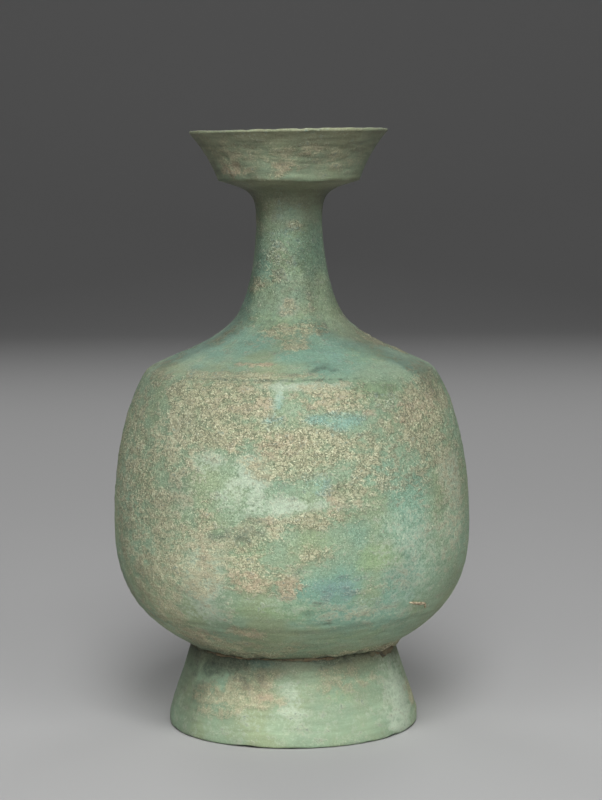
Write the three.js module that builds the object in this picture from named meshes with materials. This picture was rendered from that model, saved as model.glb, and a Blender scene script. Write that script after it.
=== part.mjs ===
// A wide-mouthed bronze bottle: a thin-walled vessel with a dish mouth, a slender neck, a
// sloping shoulder and a full body, soldered onto a separate splayed foot ring.
// Units are millimetres and +Z is up. The origin is the centre of the foot, on the table.
import * as THREE from "three";

// Radii of the outside, from the table up
const footRadius = 67.3;
const seamRadius = 55.2;
const creaseRadius = 85.0;
const bellyRadius = 95.9;
const shoulderRadius = 77.4;
const neckRootRadius = 31.1;
const waistRadius = 17.7;
const throatRadius = 29.9;
const dishRadius = 37.7;
const flareRadius = 52.3;

// Rises of the outside, each from the level below it
const footHeight = 44.7;
const undersideRise = 23.8;
const lowerWallRise = 41.5;
const upperWallRise = 82.8;
const shoulderRise = 25.1;
const neckRise = 53.5;
const throatRise = 18.6;
const dishUndersideRise = 2.35;
const dishWallRise = 25.35;

// The lip stands a little proud of the flared wall, above a small step.
const lipProud = 0.6;
const lipStep = 0.5;
const lipHeight = 1.8;

// Walls, roundings and the solder gap
const vesselWall = 2.0;
const footWall = 2.6;
const shoulderRounding = 4.5;
const footEdgeTuck = 1.7;
const footEdgeRounding = 4.0;
const bottomSag = 11.7;
const solderGap = 0.3;

// Slopes of the outline, in degrees above the horizontal
const seamSlope = 27.8;
const undersideSlope = 54;
const lowerWallSlope = 54;
const shoulderWallSlope = 61.4;
const shoulderSlope = 26.5;
const neckRootSlope = 46;
const throatSlope = 17.4;
const dishFootSlope = 69;
const dishRimSlope = 50;
const footTopSlope = 74.8;

// Flow of each run of the outline: how long it keeps the slope of its lower end and of its
// upper end, as shares of the run's length. Short flows give a tight curve between them.
const undersideFlow = { lower: 0.34, upper: 0.37 };
const lowerWallFlow = { lower: 0.37, upper: 0.34 };
const upperWallFlow = { lower: 0.33, upper: 0.32 };
const shoulderFlow = { lower: 0.39, upper: 0.32 };
const neckFlow = { lower: 0.25, upper: 0.28 };
const throatFlow = { lower: 0.56, upper: 0.48 };
const dishFlow = { lower: 0.36, upper: 0.35 };
const footFlow = { lower: 0.14, upper: 0.37 };
const roundingFlow = { lower: 0.4, upper: 0.4 };

// Fineness of the facets
const turns = 52;
const outsideSteps = { arc: 5, long: 7, short: 3 };
const insideSteps = { arc: 3, long: 4, short: 2 };

// Levels above the table, added up from the rises
const creaseZ = footHeight + undersideRise;
const bellyZ = creaseZ + lowerWallRise;
const shoulderZ = bellyZ + upperWallRise;
const neckRootZ = shoulderZ + shoulderRise;
const waistZ = neckRootZ + neckRise;
const throatZ = waistZ + throatRise;
const dishZ = throatZ + dishUndersideRise;
const flareZ = dishZ + dishWallRise;
const rimZ = flareZ + lipStep + lipHeight;
const rimRadius = flareRadius + lipProud;
const standingRadius = footRadius - footEdgeTuck;

// Patinated bronze: grey-green and dull, without the shine of bare metal
const vesselColour = 0x86a089;
const footColour = 0x8da38a;
const patinaMetalness = 0.15;
const patinaRoughness = 0.8;

const point = (r, z) => new THREE.Vector2(r, z);

// A unit step up along a slope that leans outwards or inwards
function heading(slope, across) {
  const angle = THREE.MathUtils.degToRad(slope);
  return point(across * Math.cos(angle), Math.sin(angle));
}
const outwards = (slope) => heading(slope, 1);
const inwards = (slope) => heading(slope, -1);
const up = outwards(90);

// A smooth run of the outline between two points, with the heading and flow at each end
function run(lower, lowerHeading, upper, upperHeading, flow) {
  const span = lower.distanceTo(upper);
  const lowerHandle = lower.clone().addScaledVector(lowerHeading, flow.lower * span);
  const upperHandle = upper.clone().addScaledVector(upperHeading, -flow.upper * span);
  return new THREE.CubicBezierCurve(lower, lowerHandle, upperHandle, upper);
}

// The points of runs that follow one another, without repeating where they meet
function along(runs) {
  return runs.flatMap(([curve, steps]) => curve.getPoints(steps).slice(0, -1));
}

// Height of the vessel's dished bottom at a radius inside the foot
function bottomHeight(radius) {
  return footHeight - bottomSag * (1 - (radius / seamRadius) ** 2);
}

// The bottom of the vessel, from the axis out to the seam, with a corner over the foot's
// inner edge so that the gap to the foot stays even
function bottomPoints(steps) {
  const footInside = seamRadius - footWall;
  const points = [];
  for (let i = 0; i <= steps; i += 1) {
    const radius = (i / steps) * footInside;
    points.push(point(radius, bottomHeight(radius)));
  }
  return points;
}

// The body: underside, soft crease, lower wall, belly and upper wall, up to the rounding
function bodyRuns(steps, wallTop) {
  const seam = point(seamRadius, footHeight);
  const crease = point(creaseRadius, creaseZ);
  const belly = point(bellyRadius, bellyZ);
  const wallHeading = inwards(shoulderWallSlope);
  const creaseBelow = outwards(undersideSlope);
  const creaseAbove = outwards(lowerWallSlope);
  return [
    [run(seam, outwards(seamSlope), crease, creaseBelow, undersideFlow), steps.arc],
    [run(crease, creaseAbove, belly, up, lowerWallFlow), steps.arc],
    [run(belly, up, wallTop, wallHeading, upperWallFlow), steps.long],
  ];
}

// The shoulder and neck: rounded edge, slope, sweep up into the neck, waist and throat
function neckRuns(steps, wallTop, slopeStart) {
  const neckRoot = point(neckRootRadius, neckRootZ);
  const waist = point(waistRadius, waistZ);
  const throat = point(throatRadius, throatZ);
  const wallHeading = inwards(shoulderWallSlope);
  const slopeHeading = inwards(shoulderSlope);
  const rootHeading = inwards(neckRootSlope);
  return [
    [run(wallTop, wallHeading, slopeStart, slopeHeading, roundingFlow), steps.short],
    [run(slopeStart, slopeHeading, neckRoot, rootHeading, shoulderFlow), steps.arc],
    [run(neckRoot, rootHeading, waist, up, neckFlow), steps.long],
    [run(waist, up, throat, outwards(throatSlope), throatFlow), steps.arc],
  ];
}

// The dish mouth: underside out to the sharp corner, then the flared wall
function dishRuns(steps) {
  const throat = point(throatRadius, throatZ);
  const corner = point(dishRadius, dishZ);
  const flare = point(flareRadius, flareZ);
  const wallFoot = outwards(dishFootSlope);
  return [
    [new THREE.LineCurve(throat, corner), 1],
    [run(corner, wallFoot, flare, outwards(dishRimSlope), dishFlow), steps.arc],
  ];
}

// The vessel's outside, from the axis under the bottom to the top of the flared wall
function outsidePoints(steps) {
  const edge = point(shoulderRadius, shoulderZ);
  const belowEdge = inwards(shoulderWallSlope).multiplyScalar(-shoulderRounding);
  const aboveEdge = inwards(shoulderSlope).multiplyScalar(shoulderRounding);
  const wallTop = edge.clone().add(belowEdge);
  const slopeStart = edge.clone().add(aboveEdge);
  return [
    ...bottomPoints(steps.arc),
    ...along(bodyRuns(steps, wallTop)),
    ...along(neckRuns(steps, wallTop, slopeStart)),
    ...along(dishRuns(steps)),
    point(flareRadius, flareZ),
  ];
}

// The same line moved inwards by a thickness, keeping its corners sharp and its start on
// the axis
function movedInwards(points, thickness) {
  const last = points.length - 1;
  return points.map((p, i) => {
    const into = i === 0 ? point(1, 0) : p.clone().sub(points[i - 1]).normalize();
    const outOf = i === last ? into : points[i + 1].clone().sub(p).normalize();
    const across = point(-into.y - outOf.y, into.x + outOf.x);
    const mitre = (2 * thickness) / across.lengthSq();
    const moved = p.clone().addScaledVector(across, mitre);
    return i === 0 ? point(0, moved.y) : moved;
  });
}

// The lip, from its lower outer edge over its flat top. The top runs in to where the inner
// face of the flared wall, carried on upwards, meets it.
function lipPoints(innerTop) {
  const toRim = outwards(dishRimSlope);
  const innerEdge = innerTop.clone().addScaledVector(toRim, (rimZ - innerTop.y) / toRim.y);
  return [point(rimRadius, flareZ + lipStep), point(rimRadius, rimZ), innerEdge];
}

// Turns a profile about the vertical axis and stands it upright
function turned(profile) {
  const geometry = new THREE.LatheGeometry(profile, turns);
  geometry.rotateX(Math.PI / 2);
  return geometry;
}

function vesselGeometry() {
  const outside = outsidePoints(outsideSteps);
  const moved = movedInwards(outsidePoints(insideSteps), vesselWall);
  const inside = moved.filter((p) => p.y < rimZ).reverse();
  return turned([...outside, ...lipPoints(inside[0]), ...inside]);
}

// The foot ring: a flat standing edge, a rounded rim, a splayed wall and a top edge cut to
// the vessel's bottom, with the solder gap between them
function footGeometry() {
  const footInside = seamRadius - footWall;
  const topOuter = point(seamRadius, bottomHeight(seamRadius) - solderGap);
  const topInner = point(footInside, bottomHeight(footInside) - solderGap);
  const standing = point(standingRadius, 0);
  const edge = point(footRadius, footEdgeRounding);
  const edgeInner = point(footRadius - footWall, footEdgeRounding);
  const rounding = new THREE.QuadraticBezierCurve(standing, point(footRadius, 0), edge);
  const splay = run(edge, up, topOuter, inwards(footTopSlope), footFlow);
  const splayInner = run(edgeInner, up, topInner, inwards(footTopSlope), footFlow);
  return turned([
    ...along([[rounding, outsideSteps.short], [splay, outsideSteps.arc]]),
    topOuter,
    ...splayInner.getPoints(insideSteps.arc).reverse(),
    point(standingRadius - footWall, 0),
    standing.clone(),
  ]);
}

function piece(name, geometry, colour) {
  const material = new THREE.MeshStandardMaterial({
    color: colour,
    metalness: patinaMetalness,
    roughness: patinaRoughness,
  });
  const mesh = new THREE.Mesh(geometry, material);
  mesh.name = name;
  return mesh;
}

const bottle = new THREE.Group();
bottle.add(piece("vessel", vesselGeometry(), vesselColour));
bottle.add(piece("foot_ring", footGeometry(), footColour));

export default bottle;
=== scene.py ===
# %% [markdown]
# A wide-mouthed bronze bottle that lay in the ground for centuries. Cast, turned and soldered
# onto a foot ring, it is now green with corrosion, and soil has set into a tan crust on it.
# This lesson dresses its plain turned solids: first the camera, floor and lights, then the two
# pieces as fine meshes with real pits and crust, the old solder and a sliver of soil, and last
# their finishes.

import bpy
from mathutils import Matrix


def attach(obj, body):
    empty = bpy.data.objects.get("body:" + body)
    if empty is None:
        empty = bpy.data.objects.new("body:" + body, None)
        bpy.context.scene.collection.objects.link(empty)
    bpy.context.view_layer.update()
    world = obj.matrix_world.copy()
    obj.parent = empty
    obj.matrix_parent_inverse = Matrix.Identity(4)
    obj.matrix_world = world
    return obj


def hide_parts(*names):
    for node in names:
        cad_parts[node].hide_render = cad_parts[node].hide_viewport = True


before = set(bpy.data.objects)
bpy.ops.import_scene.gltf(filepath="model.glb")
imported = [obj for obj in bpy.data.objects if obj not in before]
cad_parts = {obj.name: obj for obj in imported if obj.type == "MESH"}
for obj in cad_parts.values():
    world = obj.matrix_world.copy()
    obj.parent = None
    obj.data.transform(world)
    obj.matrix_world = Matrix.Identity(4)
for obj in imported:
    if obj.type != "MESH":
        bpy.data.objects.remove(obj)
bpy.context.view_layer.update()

# %% Modules and the millimetre
import math
import random
from collections import namedtuple

import bmesh
import bpy
import numpy as np
from mathutils import Matrix, Vector
from mathutils.geometry import interpolate_bezier

MM = 0.001

# %% [markdown]
# The photograph was taken with a long lens from just under the height of the mouth, looking a
# little down. The ellipses of the rim, the shoulder and the foot give the camera's distance and
# tilt. The bottle leans half a degree in the picture, shadow and all, so the camera was turned.
# Its axis stands left of the picture's middle, and a shift is a share of the picture's height.

# %% Camera
CAMERA_BACK = 1.2434
CAMERA_HEIGHT = 0.3038
CAMERA_DOWN = 5.923
CAMERA_ROLL = 0.5
LENS = 104.53
AXIS_LEFT_OF_MIDDLE_PX = 10.3
PICTURE_HEIGHT_PX = 800


def add_camera():
    data = bpy.data.cameras.new("camera")
    data.lens = LENS
    data.shift_x = AXIS_LEFT_OF_MIDDLE_PX / PICTURE_HEIGHT_PX
    camera = bpy.data.objects.new("camera", data)
    place = Matrix.Translation((0, -CAMERA_BACK, CAMERA_HEIGHT))
    tilt = Matrix.Rotation(math.radians(90 - CAMERA_DOWN), 4, "X")
    roll = Matrix.Rotation(math.radians(-CAMERA_ROLL), 4, "Z")
    camera.matrix_world = place @ tilt @ roll
    bpy.context.scene.collection.objects.link(camera)
    bpy.context.scene.camera = camera
    return camera


camera = add_camera()
print("camera", tuple(round(x, 3) for x in camera.location), "lens", camera.data.lens)

# %% [markdown]
# Shader sockets want linear light, while colours are given as sRGB hex values. One function turns
# one into the other. A second one adds a node, sets it up and links it. Inputs go by name or, where
# a node has several of one name, as Math and Mix do, by number.

# %% Colour and node helpers
SHARE = 0
BELOW = 6
ABOVE = 7
MIXED_COLOUR = 2


def linear(hex_colour):
    """The linear RGBA of an sRGB hex colour."""
    parts = [int(hex_colour[i:i + 2], 16) / 255 for i in (1, 3, 5)]
    return tuple(c / 12.92 if c <= 0.04045 else ((c + 0.055) / 1.055) ** 2.4 for c in parts) + (1,)


def add(tree, kind, inputs, out=0, **settings):
    """Adds a node, sets it, fills or links its inputs, and returns one of its outputs."""
    node = tree.nodes.new("ShaderNode" + kind)
    for name, value in settings.items():
        setattr(node, name, value)
    for name, value in inputs.items():
        if isinstance(value, bpy.types.NodeSocket):
            tree.links.new(value, node.inputs[name])
        else:
            node.inputs[name].default_value = linear(value) if isinstance(value, str) else value
    return node.outputs[out] if node.outputs else node


def new_material(name):
    material = bpy.data.materials.new(name)
    material.use_nodes = True
    material.node_tree.nodes.clear()
    return material


# %% [markdown]
# The bottle stands on a plain pale floor that curves up behind it, as a roll of studio paper
# does, so that no horizon cuts the picture. The sheet is a line extruded sideways. Its paper
# is matt, so it takes soft shadows and no shine.

# %% From a bmesh to an object
def new_object(name, bm):
    """Makes a bmesh a smooth-shaded object of the scene, with its place in its mesh."""
    mesh = bpy.data.meshes.new(name)
    bm.to_mesh(mesh)
    bm.free()
    mesh.polygons.foreach_set("use_smooth", [True] * len(mesh.polygons))
    made = bpy.data.objects.new(name, mesh)
    bpy.context.scene.collection.objects.link(made)
    return made


# %% Floor and backdrop
FLOOR_FRONT = -9.0
FLOOR_BACK = 2.8
SWEEP_RADIUS = 1.6
SWEEP_STEP = 5
BACKDROP_HEIGHT = 3.4
FLOOR_HALF_WIDTH = 6.0
PAPER = "#B9B9B9"


def add_floor():
    centre = Vector((0, FLOOR_BACK, SWEEP_RADIUS))
    line = [Vector((0, FLOOR_FRONT, 0))]
    for degrees in range(0, 91, SWEEP_STEP):
        angle = math.radians(degrees)
        line.append(centre + SWEEP_RADIUS * Vector((0, math.sin(angle), -math.cos(angle))))
    line.append(Vector((0, FLOOR_BACK + SWEEP_RADIUS, BACKDROP_HEIGHT)))
    bm = bmesh.new()
    verts = [bm.verts.new(p - Vector((FLOOR_HALF_WIDTH, 0, 0))) for p in line]
    edges = [bm.edges.new(pair) for pair in zip(verts, verts[1:])]
    grown = bmesh.ops.extrude_edge_only(bm, edges=edges)["geom"]
    moved = [v for v in grown if isinstance(v, bmesh.types.BMVert)]
    bmesh.ops.translate(bm, verts=moved, vec=(2 * FLOOR_HALF_WIDTH, 0, 0))
    floor = new_object("paper_floor", bm)
    material = new_material("matt_studio_paper")
    shader = add(material.node_tree, "BsdfPrincipled", {
        "Base Color": PAPER,
        "Roughness": 1.0,
        "Specular IOR Level": 0.0,
    })
    add(material.node_tree, "OutputMaterial", {"Surface": shader})
    floor.data.materials.append(material)
    return floor


floor = add_floor()
print("floor", [round(x, 2) for x in floor.dimensions])

# %% [markdown]
# Large soft boxes model a round body without hard shines. The strongest hangs high in front, a
# low one reaches the underside and the foot, and two weak ones fill the sides. Two more behind
# draw the edges and light the back. All are white, and the room adds a faint grey all round.

# %% Lights and the room's faint light
Light = namedtuple("Light", "name place size power")
LIGHTS = (
    Light("high_softbox", (0.05, -1.22, 1.6), 0.8, 18.5),
    Light("left_softbox", (-0.83, -1.19, 1.37), 0.8, 3.5),
    Light("right_softbox", (0.83, -1.19, 1.37), 0.8, 5.0),
    Light("low_softbox", (0, -1.72, 0.95), 0.7, 13.5),
    Light("back_left_softbox", (-0.9, 1.8, 1.6), 0.9, 8.5),
    Light("back_right_softbox", (0.9, 1.8, 1.6), 0.9, 8.5),
)
AIM = Vector((0, 0, 0.15))
ROOM_GREY = "#8C8C8C"
ROOM_STRENGTH = 0.17


def add_light(light):
    data = bpy.data.lights.new(light.name, "AREA")
    data.shape = "DISK"
    data.size = light.size
    data.energy = light.power
    lamp = bpy.data.objects.new(light.name, data)
    lamp.location = light.place
    lamp.rotation_euler = (AIM - lamp.location).to_track_quat("-Z", "Y").to_euler()
    lamp.visible_camera = False
    bpy.context.scene.collection.objects.link(lamp)


def add_room():
    world = bpy.data.worlds.new("room")
    world.use_nodes = True
    background = world.node_tree.nodes["Background"]
    background.inputs["Color"].default_value = linear(ROOM_GREY)
    background.inputs["Strength"].default_value = ROOM_STRENGTH
    bpy.context.scene.world = world


for light in LIGHTS:
    add_light(light)
add_room()
bpy.context.scene.view_settings.view_transform = "Standard"
print("lights", [light.name for light in LIGHTS])

# %% [markdown]
# A turned vessel is one line spun about its axis. The line is drawn as the turner thinks of
# it: a few levels with their radii, and the slope that the wall has as it passes each one.
# Between two levels runs one Bezier curve. The sizes are the solids' own, in millimetres.

# %% Levels of the outline
Level = namedtuple("Level", "radius height")
FOOT_EDGE = Level(67.3, 4.0)
FOOT_STANDING = Level(65.6, 0.0)
FOOT_TOP = Level(55.2, 44.4)
SEAM = Level(55.2, 44.7)
CREASE = Level(85.0, 68.5)
BELLY = Level(95.9, 110.0)
SHOULDER = Level(77.4, 192.8)
NECK_ROOT = Level(31.1, 217.9)
WAIST = Level(17.7, 271.4)
THROAT = Level(29.9, 290.0)
DISH_CORNER = Level(37.7, 292.35)
FLARE = Level(52.3, 317.7)
LIP_OUTER = Level(52.9, 320.0)
BOTTOM_SAG = 11.7
SHOULDER_ROUNDING = 4.5
VESSEL_WALL = 2.0
FOOT_WALL = 2.6
SOLDER_GAP = 0.3

# %% Slopes of the outline, in degrees above the horizontal
SEAM_SLOPE = 27.8
CREASE_SLOPE = 54
WALL_SLOPE = 61.4
SHOULDER_SLOPE = 26.5
NECK_ROOT_SLOPE = 46
THROAT_SLOPE = 17.4
DISH_FOOT_SLOPE = 69
DISH_RIM_SLOPE = 50
FOOT_STANDING_SLOPE = 1
FOOT_TOP_SLOPE = 74.8

# %% How long each run keeps the slopes of its lower and upper end, as shares of its length
UNDERSIDE_FLOW = (0.34, 0.37)
LOWER_WALL_FLOW = (0.37, 0.34)
UPPER_WALL_FLOW = (0.33, 0.32)
ROUNDING_FLOW = (0.4, 0.4)
SHOULDER_FLOW = (0.39, 0.32)
NECK_FLOW = (0.25, 0.28)
THROAT_FLOW = (0.56, 0.48)
DISH_UNDERSIDE_FLOW = (0.3, 0.3)
DISH_FLOW = (0.36, 0.35)
FOOT_EDGE_FLOW = (0.45, 0.45)
FOOT_FLOW = (0.14, 0.37)

# %% Headings and runs
UP = Vector((0, 0, 1))


def at(level):
    return Vector((level.radius, 0, level.height))


def heading(slope, across):
    """A unit step up along a slope that leans outwards, 1, or inwards, -1."""
    angle = math.radians(slope)
    return Vector((across * math.cos(angle), 0, math.sin(angle)))


def run(lower, lower_heading, upper, upper_heading, flow, spacing):
    """Points up one run of the outline, about a spacing apart, without its upper end."""
    span = (upper - lower).length
    lower_handle = lower + lower_heading * (flow[0] * span)
    upper_handle = upper - upper_heading * (flow[1] * span)
    count = max(2, round(span / spacing)) + 1
    return interpolate_bezier(lower, lower_handle, upper_handle, upper, count)[:-1]


# %% The vessel's line, from the axis under the bottom up to the flared rim
def bottom_height(radius):
    return SEAM.height - BOTTOM_SAG * (1 - (radius / SEAM.radius) ** 2)


def body_line(spacing, bottom_spacing):
    """The dished bottom, the underside and the wall, up to the shoulder's rounded edge."""
    count = round(SEAM.radius / bottom_spacing)
    bottom = [SEAM.radius * i / count for i in range(count)]
    seam = heading(SEAM_SLOPE, 1)
    crease = heading(CREASE_SLOPE, 1)
    wall = heading(WALL_SLOPE, -1)
    wall_top = at(SHOULDER) - wall * SHOULDER_ROUNDING
    return [
        *[Vector((r, 0, bottom_height(r))) for r in bottom],
        *run(at(SEAM), seam, at(CREASE), crease, UNDERSIDE_FLOW, spacing),
        *run(at(CREASE), crease, at(BELLY), UP, LOWER_WALL_FLOW, spacing),
        *run(at(BELLY), UP, wall_top, wall, UPPER_WALL_FLOW, spacing),
    ]


def neck_line(spacing):
    """The rounded edge, the shoulder, the neck and the dish mouth, up to the flared rim."""
    wall = heading(WALL_SLOPE, -1)
    slope = heading(SHOULDER_SLOPE, -1)
    wall_top = at(SHOULDER) - wall * SHOULDER_ROUNDING
    slope_start = at(SHOULDER) + slope * SHOULDER_ROUNDING
    root = heading(NECK_ROOT_SLOPE, -1)
    throat = heading(THROAT_SLOPE, 1)
    dish_foot = heading(DISH_FOOT_SLOPE, 1)
    dish_rim = heading(DISH_RIM_SLOPE, 1)
    return [
        *run(wall_top, wall, slope_start, slope, ROUNDING_FLOW, spacing),
        *run(slope_start, slope, at(NECK_ROOT), root, SHOULDER_FLOW, spacing),
        *run(at(NECK_ROOT), root, at(WAIST), UP, NECK_FLOW, spacing),
        *run(at(WAIST), UP, at(THROAT), throat, THROAT_FLOW, spacing),
        *run(at(THROAT), throat, at(DISH_CORNER), throat, DISH_UNDERSIDE_FLOW, spacing),
        *run(at(DISH_CORNER), dish_foot, at(FLARE), dish_rim, DISH_FLOW, spacing),
        at(FLARE),
    ]


def moved_inwards(line, thickness):
    """The same line, a wall's thickness further in, with its first point on the axis."""
    moved = []
    for i, p in enumerate(line):
        before = line[i - 1] if i else Vector((-1, 0, p.z))
        after = line[i + 1] if i + 1 < len(line) else p + (p - before)
        into = (p - before).normalized()
        out_of = (after - p).normalized()
        across = Vector((-into.z - out_of.z, 0, into.x + out_of.x))
        moved.append(p + across * (2 * thickness / across.length_squared))
    moved[0].x = 0
    return moved


# %% The lip
LIP_THICKNESS = 1.3
LIP_EDGE = 0.4
LIP_ROOT_INWARDS = 0.15
LIP_ROOT_DOWN = 1.95
LIP_FACE_DOWN = (1.6, 1.0, LIP_EDGE)


def lip_line():
    """The low upright lip, its edges broken, from outside over the top."""
    r, z = LIP_OUTER
    inner = r - LIP_THICKNESS
    return [
        Vector((r - LIP_ROOT_INWARDS, 0, z - LIP_ROOT_DOWN)),
        *[Vector((r, 0, z - down)) for down in LIP_FACE_DOWN],
        Vector((r - LIP_EDGE, 0, z)),
        Vector((inner + LIP_EDGE, 0, z)),
        Vector((inner, 0, z - LIP_EDGE)),
    ]


# %% [markdown]
# bmesh spins a chain of edges into a surface. Two values ride along on each vertex: how far
# along the outside line it lies, which is the surface's own second coordinate beside the
# azimuth, and whether it belongs to the outside at all. The relief and the finishes use both.

# %% Spinning a line into a mesh
SAME_POINT = 0.002


def spin_round(bm, geom, steps):
    """Spins edges a full turn about the bottle's axis and closes the seam."""
    bmesh.ops.spin(bm, geom=geom, cent=(0, 0, 0), axis=(0, 0, 1), dvec=(0, 0, 0),
                   angle=math.tau, steps=steps, use_merge=True, use_duplicate=False)
    bmesh.ops.remove_doubles(bm, verts=bm.verts, dist=SAME_POINT * MM)
    bmesh.ops.recalc_face_normals(bm, faces=bm.faces)


def spun(name, outside, inside, along, steps, closed):
    """A piece spun from its outside line and the inside line that follows it."""
    bm = bmesh.new()
    along_layer = bm.verts.layers.float.new("along")
    outside_layer = bm.verts.layers.float.new("outside")
    verts = []
    for i, (p, far) in enumerate(zip(outside + inside, along)):
        vert = bm.verts.new(p * MM)
        vert[along_layer] = far
        vert[outside_layer] = float(i < len(outside))
        verts.append(vert)
    edges = [bm.edges.new(pair) for pair in zip(verts, verts[1:])]
    if closed:
        edges.append(bm.edges.new((verts[-1], verts[0])))
    spin_round(bm, verts + edges, steps)
    return new_object(name, bm)


def lengths_along(line, start):
    """How far along a line each of its points lies, in millimetres from a start."""
    far = [start]
    for a, b in zip(line, line[1:]):
        far.append(far[-1] + (b - a).length)
    return far


# %% [markdown]
# The foot is a splayed ring, turned on its own and open below, that stands on a narrow flat
# edge. Its line is a closed loop, outside up and inside down, so the spin makes a solid wall.
# The inside's lengths count below zero, so that it can have a look of its own further on.

# %% The foot ring
FOOT_STEPS = 360
FOOT_EDGE_SPACING = 0.8
FOOT_OUTSIDE_SPACING = 1.1
FOOT_INSIDE_SPACING = 3
FOOT_INSIDE_START = 1.0


def foot_lines():
    edge = at(FOOT_EDGE)
    top = at(FOOT_TOP)
    standing = at(FOOT_STANDING)
    level_out = heading(FOOT_STANDING_SLOPE, 1)
    top_slope = heading(FOOT_TOP_SLOPE, -1)
    outside = [
        *run(standing, level_out, edge, UP, FOOT_EDGE_FLOW, FOOT_EDGE_SPACING),
        *run(edge, UP, top, top_slope, FOOT_FLOW, FOOT_OUTSIDE_SPACING),
        top,
    ]
    wall = Vector((FOOT_WALL, 0, 0))
    inner_radius = top.x - FOOT_WALL
    inner_top = Vector((inner_radius, 0, bottom_height(inner_radius) - SOLDER_GAP))
    inner_wall = run(edge - wall, UP, inner_top, top_slope, FOOT_FLOW, FOOT_INSIDE_SPACING)
    return outside, [inner_top, *reversed(inner_wall), standing - wall]


foot_outside, foot_inside = foot_lines()
foot_along = lengths_along(foot_outside, 0.0)
foot_inside_up = lengths_along(foot_inside[::-1], FOOT_INSIDE_START)
foot_ring_piece = spun(
    "foot_ring_patinated",
    foot_outside,
    foot_inside,
    foot_along + [-far for far in reversed(foot_inside_up)],
    FOOT_STEPS,
    closed=True,
)
print("foot ring", len(foot_ring_piece.data.polygons), "faces")
print("its outline", round(foot_along[-1], 1), "mm")

# %% [markdown]
# The vessel is one thin-walled casting from its dished bottom to its lip. Its inside is the
# same line moved in by the wall's thickness, so it is hollow and open at the mouth like the
# real one. Both ends of the line lie on the axis. The inside hardly shows, so it is coarser.

# %% The vessel
VESSEL_STEPS = 360
OUTSIDE_SPACING = 1.72
INSIDE_SPACING = 9.0
BOTTOM_SPACING = 6.0
INSIDE_TOP_DOWN = 1.2
OVER_THE_LIP = 3


def vessel_lines():
    outside = body_line(OUTSIDE_SPACING, BOTTOM_SPACING) + neck_line(OUTSIDE_SPACING) + lip_line()
    coarse = body_line(INSIDE_SPACING, 2 * BOTTOM_SPACING) + neck_line(INSIDE_SPACING)
    inside_top = LIP_OUTER.height - INSIDE_TOP_DOWN
    inside = [p for p in moved_inwards(coarse, VESSEL_WALL) if p.z < inside_top]
    return outside, inside[::-1]


vessel_outside, vessel_inside = vessel_lines()
seam_index = round(SEAM.radius / BOTTOM_SPACING)
to_seam = lengths_along(vessel_outside[:seam_index + 1], 0.0)[-1]
vessel_along = lengths_along(vessel_outside, foot_along[-1] - to_seam)
vessel_piece = spun(
    "vessel_patinated",
    vessel_outside,
    vessel_inside,
    vessel_along + lengths_along(vessel_inside, vessel_along[-1] + OVER_THE_LIP),
    VESSEL_STEPS,
    closed=False,
)
print("vessel", len(vessel_piece.data.polygons), "faces")
print("its outline ends at", round(vessel_along[-1], 1), "mm")

# %% [markdown]
# Corrosion comes in patches. Each kind of it is a list of soft-edged ovals laid on the surface
# where the bottle has them: an azimuth in degrees from the front, a length along the outline
# from the table in millimetres, and half sizes. Noise frays their edges. The side that the
# photograph doesn't show gets patches of the same kinds, fewer and scattered by a fixed seed.

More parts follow.
